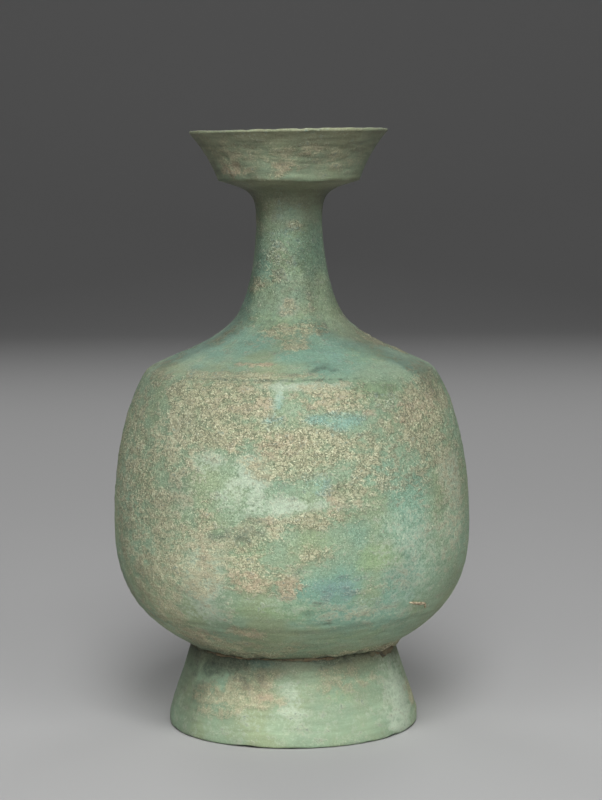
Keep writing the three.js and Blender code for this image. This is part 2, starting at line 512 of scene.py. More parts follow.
# %% The patches that show on the front: tan crust and its warm spots
Patch = namedtuple("Patch", "azimuth along across up strength")
CRUST = [
    Patch(-60, 155, 56, 84, 0.5),
    Patch(-42, 185, 30, 34, 0.3),
    Patch(62, 165, 36, 56, 0.4),
    Patch(-45, 206, 12, 9, 0.6),
    Patch(-22, 204, 22, 11, 0.8),
    Patch(-26, 190, 20, 10, 0.6),
    Patch(14, 205, 28, 9, 0.7),
    Patch(-4, 186, 30, 14, 0.8),
    Patch(18, 181, 24, 12, 0.7),
    Patch(36, 182, 18, 10, 0.6),
    Patch(52, 196, 26, 14, 0.8),
    Patch(48, 178, 18, 12, 0.5),
    Patch(2, 171, 22, 9, 0.85),
    Patch(15, 157, 9, 6, 0.9),
    Patch(8, 143, 16, 5, 0.7),
    Patch(-11, 139, 18, 6, 0.8),
    Patch(-27, 142, 10, 16, 0.6),
    Patch(-24, 183, 12, 6, 0.5),
    Patch(-14, 126, 12, 7, 0.5),
    Patch(-8, 113, 20, 8, 0.85),
    Patch(-34, 64, 26, 12, 0.6),
    Patch(7, 126, 16, 6, 0.6),
    Patch(-28, 110, 14, 24, 0.35),
    Patch(-36, 130, 18, 20, 0.55),
    Patch(-46, 104, 22, 20, 0.5),
    Patch(32, 164, 22, 12, 0.4),
    Patch(24, 100, 20, 10, 0.3),
    Patch(3, 250, 9, 6, 1.0),
    Patch(-17, 231, 15, 2.6, 0.9),
    Patch(-20, 220, 28, 4, 0.8),
    Patch(-38, 219, 12, 4, 0.7),
    Patch(-2, 279, 5, 5, 0.9),
    Patch(-12, 264, 14, 5, 0.6),
    Patch(14, 264, 12, 6, 0.45),
    Patch(28, 278, 6, 9, 0.3),
    Patch(-22, 300, 7, 14, 0.5),
    Patch(-44, 290, 10, 5, 0.8),
    Patch(10, 322, 6, 3, 0.7),
    Patch(-28, 66, 34, 11, 0.7),
    Patch(-50, 84, 24, 12, 0.6),
    Patch(-18, 79, 14, 5, 1.0),
    Patch(-14, 54, 22, 6, 0.6),
    Patch(27, 51, 28, 5, 0.7),
    Patch(58, 51, 14, 6, 1.0),
    Patch(-28, 31, 20, 8, 0.8),
    Patch(-42, 24, 16, 9, 0.6),
    Patch(-13, 25, 8, 4, 0.8),
    Patch(-30, 41, 30, 5, 0.5),
    Patch(30, 34, 26, 9, 0.4),
    Patch(-47, 365, 9, 5, 0.8),
    Patch(-4, 364, 7, 6, 0.6),
    Patch(17, 374, 12, 5, 0.6),
    Patch(-48, 378, 14, 9, 0.45),
    Patch(34, 368, 18, 8, 0.4),
    Patch(-20, 372, 16, 8, 0.3),
]
WARM = [
    Patch(-18, 203, 20, 9, 0.45),
    Patch(-7, 181, 24, 10, 0.6),
    Patch(8, 203, 24, 7, 0.45),
    Patch(-27, 138, 6, 20, 0.5),
    Patch(-8, 112, 20, 6, 0.5),
    Patch(14, 157, 9, 6, 0.4),
    Patch(50, 198, 22, 9, 0.3),
    Patch(27, 51, 26, 4, 0.6),
    Patch(58, 51, 13, 5, 0.8),
    Patch(-17, 231, 14, 2.6, 1.0),
    Patch(3, 198, 2.5, 2.5, 0.9),
    Patch(28, 197, 6, 2.5, 0.7),
    Patch(42, 199, 6, 2, 0.8),
    Patch(40, 190, 4, 2, 0.9),
    Patch(-14, 112, 9, 5, 0.5),
    Patch(-2, 109, 7, 5, 0.7),
    Patch(-17, 79, 9, 4.5, 1.0),
    Patch(-34, 72, 24, 7, 0.5),
    Patch(-24, 34, 14, 4, 0.4),
    Patch(-14, 27, 6, 2.5, 0.7),
    Patch(-47, 364, 8, 4, 0.7),
    Patch(-3, 364, 6, 4, 0.45),
    Patch(16, 374, 9, 2.5, 0.45),
    Patch(12, 149, 2.5, 7, 0.8),
    Patch(-7, 143, 3, 6, 0.6),
    Patch(52, 196, 16, 7, 0.35),
    Patch(-46, 290, 5, 3, 0.5),
    Patch(55, 92, 12, 7, 0.35),
]

# %% Smooth pale tin oxide and two painted highlights on the foot, moss green, the blues, and dark stains with some painted shade
PALE = [
    Patch(-12, 168, 9, 12, 1.0),
    Patch(-19, 158, 8, 8, 0.7),
    Patch(-27, 172, 12, 8, 0.75),
    Patch(-20, 153, 12, 7, 0.4),
    Patch(-2, 151, 22, 4, 0.65),
    Patch(15, 153, 10, 4, 0.5),
    Patch(-12, 142, 24, 9, 0.4),
    Patch(-46, 186, 16, 14, 0.4),
    Patch(-38, 152, 18, 22, 0.45),
    Patch(6, 211.5, 24, 2.6, 1.0),
    Patch(-4, 207, 3, 7, 0.8),
    Patch(-8, 200, 5, 6, 0.4),
    # Painted highlights: a pale line down the front of the foot and a soft pale patch on its right
    Patch(-2, 30, 12, 10, 0.45),
    Patch(64, 24, 18, 24, 0.7),
    Patch(62, 140, 18, 26, 0.45),
    Patch(42, 124, 24, 26, 0.45),
    Patch(24, 92, 24, 6, 0.4),
    Patch(-3, 279, 6, 6, 0.9),
    Patch(-12, 298, 6, 12, 0.4),
    Patch(-29, 112, 13, 28, 1.0),
    Patch(-35, 92, 16, 12, 0.5),
    Patch(0, 16, 200, 14, 0.2),
    Patch(-4, 100, 26, 5, 0.35),
    Patch(62, 158, 14, 12, 0.5),
]
MOSS = [
    Patch(10, 306, 12, 20, 0.6),
    Patch(-26, 288, 8, 14, 0.4),
    Patch(26, 122, 18, 7, 0.9),
    Patch(8, 132, 20, 9, 0.5),
    Patch(-14, 127, 14, 8, 0.6),
    Patch(-8, 96, 28, 8, 0.7),
    Patch(20, 74, 30, 8, 0.5),
    Patch(26, 26, 20, 8, 0.5),
    Patch(-22, 14, 28, 8, 0.3),
    Patch(-46, 288, 14, 8, 0.5),
    Patch(-10, 268, 24, 9, 0.5),
    Patch(44, 236, 26, 12, 0.5),
    Patch(34, 208, 24, 8, 0.7),
    Patch(-36, 212, 16, 10, 0.5),
    Patch(6, 372, 26, 8, 0.4),
]
TURQUOISE = [
    Patch(9, 194, 9, 3.5, 0.9),
    Patch(19, 191, 11, 5.5, 0.9),
    Patch(-4, 203, 3.5, 10, 0.65),
    Patch(-5, 192, 9, 4, 0.5),
    Patch(8, 162, 8, 7, 0.5),
    Patch(20, 238, 12, 14, 0.4),
    Patch(-15, 45, 10, 2.5, 0.6),
    Patch(36, 204, 12, 7, 0.35),
    Patch(30, 100, 28, 5, 0.4),
    Patch(-40, 226, 26, 10, 0.35),
    Patch(-2, 310, 14, 18, 0.35),
]
BLUE = [
    Patch(-56, 248, 40, 26, 0.8),
    Patch(-28, 240, 30, 16, 0.6),
    Patch(22, 240, 22, 18, 0.8),
    Patch(60, 236, 26, 18, 0.4),
    Patch(16, 107, 24, 14, 0.8),
    Patch(34, 136, 34, 40, 0.5),
    Patch(20, 90, 40, 12, 0.5),
    Patch(-4, 300, 20, 26, 0.6),
    Patch(-8, 45, 24, 4, 0.6),
]
VIOLET = [
    Patch(15, 108, 14, 8, 0.75),
    Patch(8, 112, 8, 6, 0.4),
    Patch(-4, 193, 6, 3.5, 0.6),
    Patch(11, 160, 5, 6, 0.5),
    Patch(24, 240, 9, 9, 0.6),
]
STAIN_AND_SHADE = [
    Patch(-24, 135, 5, 3, 0.8),
    Patch(-15, 134, 4, 3, 0.7),
    Patch(-9, 137, 3, 3, 0.7),
    Patch(5, 166, 8, 3, 0.5),
    Patch(-2, 160, 6, 2, 0.5),
    Patch(22, 186, 6, 3, 0.5),
    Patch(-12, 188, 5, 2, 0.4),
    Patch(8, 100, 3, 2, 0.6),
    Patch(-34, 192, 6, 4, 0.4),
    Patch(40, 160, 6, 6, 0.4),
    Patch(32, 150, 5, 6, 0.4),
    Patch(2, 117, 3, 2, 0.6),
    Patch(0, 221, 4, 2, 0.6),
    Patch(10, 224, 3, 1.6, 0.9),
    Patch(14, 227, 3.5, 2, 0.9),
    Patch(17, 231, 3, 2.5, 0.7),
    Patch(19, 224, 3, 1.5, 0.8),
    Patch(8, 229, 2, 1.5, 0.6),
    Patch(12, 85, 7, 1.2, 0.8),
    Patch(5, 93, 3, 1.6, 0.8),
    Patch(-20, 137, 10, 4, 0.45),
    Patch(-12, 143, 8, 4, 0.5),
    Patch(15, 160, 8, 6, 0.45),
    Patch(2, 178, 20, 6, 0.25),
    Patch(30, 184, 14, 5, 0.3),
    Patch(-34, 308, 4, 10, 0.35),
    Patch(22, 306, 3, 8, 0.4),
    Patch(-16, 296, 3, 3, 0.5),
    Patch(-44, 290, 5, 4, 0.5),
    Patch(8, 46, 36, 3, 0.7),
    # Partly dark staining, partly the painted shadow of the body on the foot's top
    Patch(-50, 39, 26, 8, 0.9),
    Patch(-20, 45, 26, 3, 0.35),
    Patch(32, 50, 16, 3, 0.7),
    Patch(57, 48, 12, 3, 0.8),
    # Painted shade: a dark line in the groove under the shoulder
    Patch(-10, 215.3, 70, 0.7, 0.9),
    Patch(34, 215.3, 50, 0.7, 0.8),
]

# %% Painted shade: patches where the tone is lowered for shade, most of them on the sides
PAINTED_SHADE = [
    Patch(-80, 150, 50, 100, 0.15),
    Patch(-82, 96, 40, 34, 0.8),
    Patch(-72, 252, 18, 30, 0.7),
    Patch(66, 250, 18, 34, 0.9),
    Patch(-70, 300, 8, 60, 0.9),
    Patch(34, 300, 7, 34, 0.9),
    Patch(-80, 34, 36, 36, 1.0),
    Patch(-46, 44, 28, 14, 0.9),
    Patch(-50, 56, 14, 10, 0.8),
    Patch(-44, 8, 26, 8, 0.4),
    Patch(36, 116, 12, 12, 0.5),
    Patch(76, 20, 14, 26, 0.4),
    Patch(76, 372, 40, 20, 0.5),
    Patch(-84, 372, 36, 20, 0.5),
    Patch(-78, 346, 18, 14, 0.8),
    Patch(80, 346, 18, 14, 0.9),
    Patch(36, 210, 16, 6, 0.5),
    Patch(-84, 236, 30, 24, 0.6),
    Patch(80, 236, 34, 24, 0.8),
    Patch(-36, 156, 12, 12, 0.4),
]

# %% Where the surface is cut, or stands up in lumps
GASHES = [
    Patch(12, 85, 5, 1.4, 1.0),
    Patch(5, 93, 3, 1.2, 0.9),
    Patch(33, 80, 1.2, 7, 0.5),
]
LUMPS = [
    Patch(26, 52, 26, 4, 0.5),
    Patch(58, 50, 13, 5, 1.0),
    Patch(-8, 51, 12, 4, 0.3),
    Patch(-40, 52, 22, 5, 0.5),
    Patch(-20, 78, 10, 6, 0.5),
    Patch(120, 52, 20, 5, 0.6),
    Patch(-150, 52, 24, 5, 0.6),
]

# %% The patches of the side that doesn't show
BACK_SEED = 11
BACK_KINDS = (
    (CRUST, 34, 0.75),
    (WARM, 9, 0.5),
    (PALE, 10, 0.7),
    (TURQUOISE, 5, 0.5),
    (BLUE, 12, 0.7),
    (MOSS, 8, 0.6),
    (STAIN_AND_SHADE, 8, 0.4),
)
BACK_AZIMUTHS = (82, 278)
BACK_BANDS = ((8, 44), (60, 214), (60, 350))
BACK_HALF_WIDTHS = (8, 30)
BACK_FLATNESS = (0.3, 0.8)
BACK_SPREAD = (0.6, 1.3)


def scatter_back_patches():
    chance = random.Random(BACK_SEED)
    for patches, count, strength in BACK_KINDS:
        for _ in range(count):
            azimuth = chance.uniform(*BACK_AZIMUTHS)
            along = chance.choice([chance.uniform(*band) for band in BACK_BANDS])
            across = chance.uniform(*BACK_HALF_WIDTHS)
            up = chance.uniform(*BACK_FLATNESS) * across
            share = strength * chance.uniform(*BACK_SPREAD)
            patches.append(Patch(azimuth, along, across, up, share))


scatter_back_patches()
KINDS = {"crust": CRUST, "warm": WARM, "pale": PALE, "turquoise": TURQUOISE,
         "blue": BLUE, "violet": VIOLET, "stain_and_shade": STAIN_AND_SHADE, "moss": MOSS}
print("patches", {name: len(patches) for name, patches in KINDS.items()})

# %% [markdown]
# The relief is real geometry: each vertex moves in or out along its normal by fractions of a
# millimetre. Corrosion swells the wall in slow waves, crust stands up in grains, and pits sink
# in. Nothing leaves the solid's own box. Each cover is kept as an attribute for the shader.

# %% Noise for many points at once
Field = namedtuple("Field", "size octaves seed")
CORNERS = [(x, y, z) for x in (0, 1) for y in (0, 1) for z in (0, 1)]
AXIS_FACTORS = (73856093, 19349663, 83492791)
SEED_FACTOR = 40503
MIXING = ((15, 1274126177), (13, 668265263))
KEPT_BITS = 0x7FFFFFFF
HALF_RANGE = 0x3FFFFFFF
OCTAVE_SHIFT = 7.31
OCTAVE_FADE = 0.55
NOISE_GAIN = 1.3


def chance_at(cells, seed):
    """A repeatable value from -1 to 1 for each whole cell of space."""
    x, y, z = (cells[:, axis] * factor for axis, factor in enumerate(AXIS_FACTORS))
    mixed = x ^ y ^ z ^ seed * SEED_FACTOR
    for shift, factor in MIXING:
        mixed = (mixed ^ mixed >> shift) * factor & KEPT_BITS
    return mixed / HALF_RANGE - 1


def noise_field(points, field):
    """Fractal noise, mostly from -1 to 1, with lumps of the field's size in millimetres."""
    total = np.zeros(len(points))
    for octave in range(field.octaves):
        seed = field.seed + octave
        placed = points * (2 ** octave / (field.size * MM)) + OCTAVE_SHIFT * seed
        cells = np.floor(placed).astype(np.int64)
        share = placed - cells
        share = share * share * (3 - 2 * share)
        for corner in CORNERS:
            weight = np.prod(np.where(corner, share, 1 - share), axis=1)
            total += OCTAVE_FADE ** octave * weight * chance_at(cells + corner, seed)
    return NOISE_GAIN * total


# %% Reading a mesh as arrays
Surface = namedtuple("Surface", "points normals azimuth radius along outside fray")
FRAY_NOISE = Field(18, 4, 3)


def values_of(data, name, width):
    """One property of each item of a mesh, as rows of a width."""
    values = np.empty(len(data) * width)
    data.foreach_get(name, values)
    return values.reshape(-1, width) if width > 1 else values


def azimuth_of(points):
    """Degrees round from the front, which is -Y, positive to the right."""
    return np.degrees(np.arctan2(points[:, 0], -points[:, 1]))


def read_surface(piece):
    mesh = piece.data
    points = values_of(mesh.vertices, "co", 3)
    return Surface(
        points=points,
        normals=values_of(mesh.vertex_normals, "vector", 3),
        azimuth=azimuth_of(points),
        radius=np.hypot(points[:, 0], points[:, 1]) / MM,
        along=values_of(mesh.attributes["along"].data, "value", 1),
        outside=values_of(mesh.attributes["outside"].data, "value", 1),
        fray=noise_field(points, FRAY_NOISE),
    )


# %% [markdown]
# An oval's cover fades from its middle outwards, and noise added to the distance frays it.
# Beside the ovals, the whole bottle changes with height: it is darker in the seam and in the dish,
# streaked by the lathe on the dish and the foot, and gritty on the body. Part of that tone is
# painted light: a dark line of painted contact shade round the foot's standing edge, the painted
# shadow of the dish over the top of the neck, and a foot painted partly lighter and a neck and dish
# painted partly darker, as if the light fell off upwards. A table gives these values at a few
# lengths along the outline, and they are blended between.

# %% Covers and their soft edges
FRAY = 0.42
SOFT_FROM = 1.5
SOFT_TO = 0.25


def smooth(low, high, value):
    """A soft step from 0 at low to 1 at high, which may lie below low."""
    t = np.clip((value - low) / (high - low), 0, 1)
    return t * t * (3 - 2 * t)


def turn_from(azimuth, middle):
    """Degrees round from a middle, the short way."""
    return (azimuth - middle + 180) % 360 - 180


def cover_of(surface, patches):
    """How strongly patches cover each vertex, from 0 to 1, with frayed, soft edges."""
    bare = np.ones(len(surface.along))
    for patch in patches:
        turn = turn_from(surface.azimuth, patch.azimuth)
        across = np.radians(turn) * surface.radius / patch.across
        up = (surface.along - patch.along) / patch.up
        away = np.hypot(across, up) + FRAY * surface.fray
        bare *= 1 - patch.strength * smooth(SOFT_FROM, SOFT_TO, away)
    return (1 - bare) * surface.outside


# %% What the patina is like at each level, from inside the foot to inside the mouth
Zone = namedtuple("Zone", "along tone olive turned grit")
# The tone is partly painted light: lighter on the foot, darker up the neck and on the dish, as if
# the light fell off upwards
ZONES = (
    Zone(-50, 0.45, 0.8, 0.3, 0.5),
    Zone(-3, 0.6, 0.6, 0.3, 0.5),
    # Painted contact shade: a dark line round the foot's standing edge
    Zone(0, 0.4, 0.4, 0.2, 0.3),
    Zone(0.9, 0.7, 0.2, 0.2, 0.4),
    Zone(1.8, 1.46, 0.2, 0.3, 0.4),
    Zone(8, 1.38, 0.2, 0.4, 0.12),
    Zone(16, 1.32, 0.3, 0.5, 0.2),
    Zone(36, 1.22, 0.3, 0.6, 0.35),
    Zone(42, 0.86, 0.5, 0.4, 0.5),
    Zone(47, 0.62, 0.7, 0.3, 0.7),
    Zone(50, 1.0, 0.5, 0.4, 0.9),
    Zone(62, 1.16, 0.4, 0.7, 0.5),
    Zone(84, 1.1, 0.2, 0.7, 0.4),
    Zone(85.4, 1.3, 0.0, 0.5, 0.4),
    Zone(100, 1.3, 0.0, 0.3, 0.6),
    Zone(150, 1.23, 0.0, 0.1, 1.1),
    Zone(180, 1.14, 0.0, 0.1, 1.1),
    Zone(212, 1.01, 0.0, 0.1, 1.0),
    Zone(217, 0.93, -0.4, 0.4, 0.6),
    Zone(240, 0.9, -0.4, 0.5, 0.6),
    Zone(262, 0.86, -0.2, 0.4, 0.8),
    Zone(285, 0.84, 0.1, 0.3, 1.2),
    Zone(312, 0.82, 0.1, 0.3, 1.3),
    # Painted shadow of the dish over the top of the neck, below the dish
    Zone(326, 0.64, 0.4, 0.4, 0.7),
    Zone(336, 0.48, 0.7, 0.5, 0.6),
    Zone(344, 0.52, 0.8, 0.5, 0.4),
    Zone(350, 0.68, 0.8, 0.6, 0.4),
    Zone(357.5, 0.6, 0.8, 0.5, 0.3),
    Zone(358.5, 0.9, 0.4, 1.0, 0.35),
    Zone(368, 0.82, 0.55, 1.3, 0.4),
    Zone(380, 0.7, 0.7, 1.3, 0.4),
    Zone(386.5, 0.62, 0.8, 0.9, 0.4),
    Zone(388, 1.1, 0.6, 0.4, 0.7),
    Zone(391, 1.1, 0.6, 0.3, 0.6),
    Zone(394, 0.75, 0.9, 0.8, 0.7),
    Zone(424, 0.6, 0.9, 0.8, 0.7),
    Zone(450, 0.35, 1.0, 0.4, 0.5),
    Zone(520, 0.2, 1.0, 0.2, 0.4),
)
ZONE_VALUES = Zone._fields[1:]
LEVEL_DRIFT = 2.0
LEVEL_NOISE = Field(20, 2, 21)
DRIFT_ABOVE_FOOT_EDGE = (4, 14)
DRIFT_BELOW_RIM = (386, 376)
TONE_DRIFT = 0.07
TONE_NOISE = Field(30, 2, 17)
# How far the painted shade patches lower the tone
PAINTED_SHADE_DEPTH = 0.4


def zones_of(surface):
    """The zone values at each vertex, blended between levels that drift up and down."""
    drift = LEVEL_DRIFT * noise_field(surface.points, LEVEL_NOISE)
    drift *= smooth(*DRIFT_ABOVE_FOOT_EDGE, surface.along) * smooth(*DRIFT_BELOW_RIM, surface.along)
    lengths = [zone.along for zone in ZONES]
    found = {}
    for name in ZONE_VALUES:
        values = [getattr(zone, name) for zone in ZONES]
        found[name] = np.interp(surface.along + drift, lengths, values)
    found["tone"] *= 1 + TONE_DRIFT * noise_field(surface.points, TONE_NOISE)
    # Painted shade: the tone is lowered under the painted shade patches
    found["tone"] *= 1 - PAINTED_SHADE_DEPTH * cover_of(surface, PAINTED_SHADE)
    return found


# %% The relief, in millimetres
SWELL = 0.2
SWELL_NOISE = Field(45, 2, 7)
CRUST_RISE = 0.12
GRAIN_RISE = 0.42
BARE_GRAIN_RISE = 0.05
GRAIN_NOISE = Field(3.6, 2, 1)
PIT_DEPTH = 0.4
PIT_REACH = (0.75, 1.3)
PIT_NOISE = Field(8, 3, 5)
GASH_DEPTH = 0.8
LUMP_RISE = 1.4
LUMP_EVENNESS = 0.4
LUMP_NOISE = Field(4.5, 2, 9)
INSIDE_ROUGHNESS = 0.25
INSIDE_GRAIN = 0.3


def relief(surface, covers):
    """How far each vertex moves out along its normal, in millimetres."""
    swell = noise_field(surface.points, SWELL_NOISE)
    grain = noise_field(surface.points, GRAIN_NOISE)
    pits = noise_field(surface.points, PIT_NOISE)
    lumpy = LUMP_EVENNESS + noise_field(surface.points, LUMP_NOISE)
    outside = SWELL * (swell - 1)
    outside += covers["crust"] * (CRUST_RISE + GRAIN_RISE * grain)
    outside += BARE_GRAIN_RISE * grain
    outside -= PIT_DEPTH * smooth(*PIT_REACH, pits) * (1 - covers["pale"])
    outside -= GASH_DEPTH * cover_of(surface, GASHES)
    outside += LUMP_RISE * cover_of(surface, LUMPS) * lumpy
    inside = INSIDE_ROUGHNESS * (INSIDE_GRAIN * grain - swell)
    return np.where(surface.outside > 0.5, outside, inside)


# %% Moving the vertices and keeping the covers
def shift_along_normals(surface, points, distance):
    """The points, moved out along the surface's normals by a distance in millimetres."""
    return points + surface.normals * (distance * MM)[:, None]


def kept_within(points, radius):
    """The points, drawn in where they stand further from the axis than a radius."""
    far = np.hypot(points[:, 0], points[:, 1])
    points[:, :2] *= np.minimum(1, radius * MM / np.maximum(far, MM))[:, None]
    return points


def keep_attribute(mesh, name, values):
    attribute = mesh.attributes.new(name, "FLOAT", "POINT")
    attribute.data.foreach_set("value", values.astype(np.float32))


def weather(piece, shaping):
    surface = read_surface(piece)
    covers = {name: cover_of(surface, patches) for name, patches in KINDS.items()}
    points = shift_along_normals(surface, surface.points, relief(surface, covers))
    points = shaping(surface, points)
    piece.data.vertices.foreach_set("co", points.ravel())
    piece.data.update()
    for name, values in (covers | zones_of(surface)).items():
        keep_attribute(piece.data, name, values)


# %% The vessel's own wear: the groove under the shoulder, the nicked and leaning lip
Nick = namedtuple("Nick", "azimuth across depth")
NICKS = (
    Nick(-30, 5, 0.3),
    Nick(-24, 3, 0.45),
    Nick(-13, 2, 0.3),
    Nick(-8, 4, 0.35),
    Nick(7, 3, 0.45),
    Nick(16, 4, 0.25),
    Nick(48, 5, 0.3),
    Nick(96, 5, 0.5),
    Nick(140, 4, 0.6),
    Nick(-118, 6, 0.5),
    Nick(-160, 3, 0.4),
    Nick(-75, 4, 0.3),
)
LIP_WEAR = 0.25
LIP_WEAR_REACH = (0.1, 0.9)
WEAR_STARTS_DOWN = 2.2
WEAR_FULL_DOWN = 0.2
RIM_DROP_LEFT = 0.8
GROOVE = Patch(-4, 215, 82, 1.6, 1.0)
GROOVE_DEPTH = 0.3


def lip_loss(surface):
    """How much height wear and nicks have taken off the lip at each azimuth."""
    lost = LIP_WEAR * smooth(*LIP_WEAR_REACH, surface.fray)
    for nick in NICKS:
        turn = turn_from(surface.azimuth, nick.azimuth)
        far = np.abs(np.radians(turn) * surface.radius / nick.across)
        lost = np.maximum(lost, nick.depth * smooth(1, 0, far))
    return lost


def shape_vessel(surface, points):
    groove = cover_of(surface, [GROOVE]) * GROOVE_DEPTH
    points = shift_along_normals(surface, points, -groove)
    height = points[:, 2] / MM
    top = LIP_OUTER.height
    at_lip = smooth(top - WEAR_STARTS_DOWN, top - WEAR_FULL_DOWN, height)
    left_share = 0.5 * (1 - points[:, 0] / (LIP_OUTER.radius * MM))
    lean = smooth(THROAT.height, top, height) * RIM_DROP_LEFT * left_share
    points[:, 2] -= (at_lip * lip_loss(surface) + lean) * MM
    points[:, 2] = np.minimum(points[:, 2], top * MM)
    return kept_within(points, BELLY.radius)


# %% The foot ring's own wear: a turned line and a chipped edge
FOOT_LINE_ALONG = 32.0
FOOT_LINE_DEPTH = 0.12
FOOT_LINE_EDGE = (1.2, 0.2)
EDGE_CHIP = 0.7
CHIP_REACH = (0.0, 1.2)
CHIP_NOISE = Field(9, 2, 31)
CHIPS_BELOW = (3.5, 1.0)


def shape_foot(surface, points):
    from_line = np.abs(surface.along - FOOT_LINE_ALONG)
    line = smooth(*FOOT_LINE_EDGE, from_line) * surface.outside
    points = shift_along_normals(surface, points, -line * FOOT_LINE_DEPTH)
    chipped = smooth(*CHIP_REACH, noise_field(surface.points, CHIP_NOISE))
    chipped *= smooth(*CHIPS_BELOW, surface.along) * surface.outside
    points[:, 2] += chipped * EDGE_CHIP * MM
    points[:, 2] = np.maximum(points[:, 2], 0)
    return kept_within(points, FOOT_EDGE.radius)


weather(vessel_piece, shape_vessel)
weather(foot_ring_piece, shape_foot)
print("vessel box", [round(x / MM, 2) for x in vessel_piece.dimensions])
print("foot ring box", [round(x / MM, 2) for x in foot_ring_piece.dimensions])

# %% [markdown]
# The foot was soldered on. What is left of the solder is a ragged bead in the seam, brown and
# fissured, with lumps where it ran. It is a thin ring of eight sides, spun, then swollen and
# pinched by noise, most of all at the right of the front, where crumbly lumps hang out.

# %% The solder bead
RING_SIDES = 8
BEAD_RADIUS = 0.85
BEAD_INWARDS = 0.2
BEAD_DOWN = 0.15
BEAD_STEPS = 360


def upright_ring(bm, radius, centre):
    """An upright ring of points round a centre on the X side, for a spin to sweep along."""
    ring = bmesh.ops.create_circle(bm, segments=RING_SIDES, radius=radius * MM)["verts"]
    quarter_turn = Matrix.Rotation(math.pi / 2, 3, "X")
    bmesh.ops.rotate(bm, verts=ring, cent=(0, 0, 0), matrix=quarter_turn)
    bmesh.ops.translate(bm, verts=ring, vec=centre * MM)
    return ring


bead_centre = Vector((SEAM.radius - BEAD_INWARDS, 0, SEAM.height - BEAD_DOWN))
bead_bm = bmesh.new()
upright_ring(bead_bm, BEAD_RADIUS, bead_centre)
spin_round(bead_bm, list(bead_bm.verts) + list(bead_bm.edges), BEAD_STEPS)
bead = new_object("solder_bead", bead_bm)
print("solder bead", len(bead.data.polygons), "faces")

# %% The lumps and pinches of the bead
Lump = namedtuple("Lump", "azimuth across growth")
BEAD_LUMPS = (
    Lump(62, 9, 4.0),
    Lump(50, 7, 2.5),
    Lump(34, 12, 1.0),
    Lump(22, 8, 0.4),
    Lump(6, 9, 0.45),
    Lump(-14, 5, 0.4),
    Lump(120, 10, 0.45),
    Lump(-150, 12, 0.4),
    Lump(-75, 8, 0.3),
)
BEAD_SIZE = 0.7
BEAD_UNEVENNESS = 0.55
BEAD_NOISE = Field(5, 3, 12)
BEAD_LUMP_NOISE = Field(3.0, 2, 14)
BEAD_CRUMBS = 0.35
BEAD_CRUMB_NOISE = Field(1.8, 2, 16)
BEAD_LEAST = 0.3
BEAD_MOST = 4.8


def swell_bead(mesh, centre):
    """Swells and pinches the bead about the line through its middle."""
    points = values_of(mesh.vertices, "co", 3)
    azimuth = azimuth_of(points)
    middle = points / np.hypot(points[:, 0], points[:, 1])[:, None] * (centre.x * MM)
    middle[:, 2] = centre.z * MM
    growth = BEAD_SIZE + BEAD_UNEVENNESS * noise_field(middle, BEAD_NOISE)
    lumpy = 1 + noise_field(middle, BEAD_LUMP_NOISE)
    for lump in BEAD_LUMPS:
        turn = turn_from(azimuth, lump.azimuth)
        far = np.abs(np.radians(turn) * centre.x / lump.across)
        growth += lump.growth * smooth(1, 0, far) * lumpy
    growth = np.clip(growth, BEAD_LEAST, BEAD_MOST)
    growth *= 1 + BEAD_CRUMBS * noise_field(points, BEAD_CRUMB_NOISE)
    points = middle + (points - middle) * growth[:, None]
    mesh.vertices.foreach_set("co", points.ravel())
    mesh.update()


swell_bead(bead.data, bead_centre)
print("solder bead box", [round(x / MM, 1) for x in bead.dimensions])

# %% [markdown]
# On the lower right of the body a sliver of hard soil stands proud, bent like an L. A small
# ring is spun a few degrees about the bottle's axis, which gives a bent rod. Its points are
# then set on the outline at their own height, thinned towards the ends and hooked at one.

# %% The sliver
SLIVER_FROM = 42.0
SLIVER_TURN = 11.0
SLIVER_TOP = 76.5
SLIVER_DROP = 3.2
SLIVER_RADIUS = 0.85
SLIVER_STEPS = 22


def outline_radius(height):
    """The vessel's radius at a height on its lower body."""
    wall = [p for p in vessel_outside if SEAM.height <= p.z <= BELLY.height]
    return np.interp(height, [p.z for p in wall], [p.x for p in wall])


def add_sliver():
    bm = bmesh.new()
    ring = upright_ring(bm, SLIVER_RADIUS, Vector((outline_radius(SLIVER_TOP), 0, SLIVER_TOP)))
    turned_to = Matrix.Rotation(math.radians(SLIVER_FROM - 90), 3, "Z")
    bmesh.ops.rotate(bm, verts=ring, cent=(0, 0, 0), matrix=turned_to)
    step_down = (0, 0, -SLIVER_DROP * MM / SLIVER_STEPS)
    bmesh.ops.spin(bm, geom=list(bm.verts) + list(bm.edges), cent=(0, 0, 0), axis=(0, 0, 1),
                   dvec=step_down, angle=math.radians(SLIVER_TURN), steps=SLIVER_STEPS)
    bmesh.ops.holes_fill(bm, edges=bm.edges, sides=RING_SIDES)
    bmesh.ops.recalc_face_normals(bm, faces=bm.faces)
    return new_object("soil_sliver", bm)


# %% The bend of the sliver
SLIVER_TIP = 0.35
SLIVER_TAPER = (0.25, 0.85)
SLIVER_UNEVENNESS = 0.3
SLIVER_NOISE = Field(2, 2, 41)
SLIVER_HOOK = 2.4
SLIVER_HOOK_FROM = 0.8
SLIVER_SUNK = 0.1


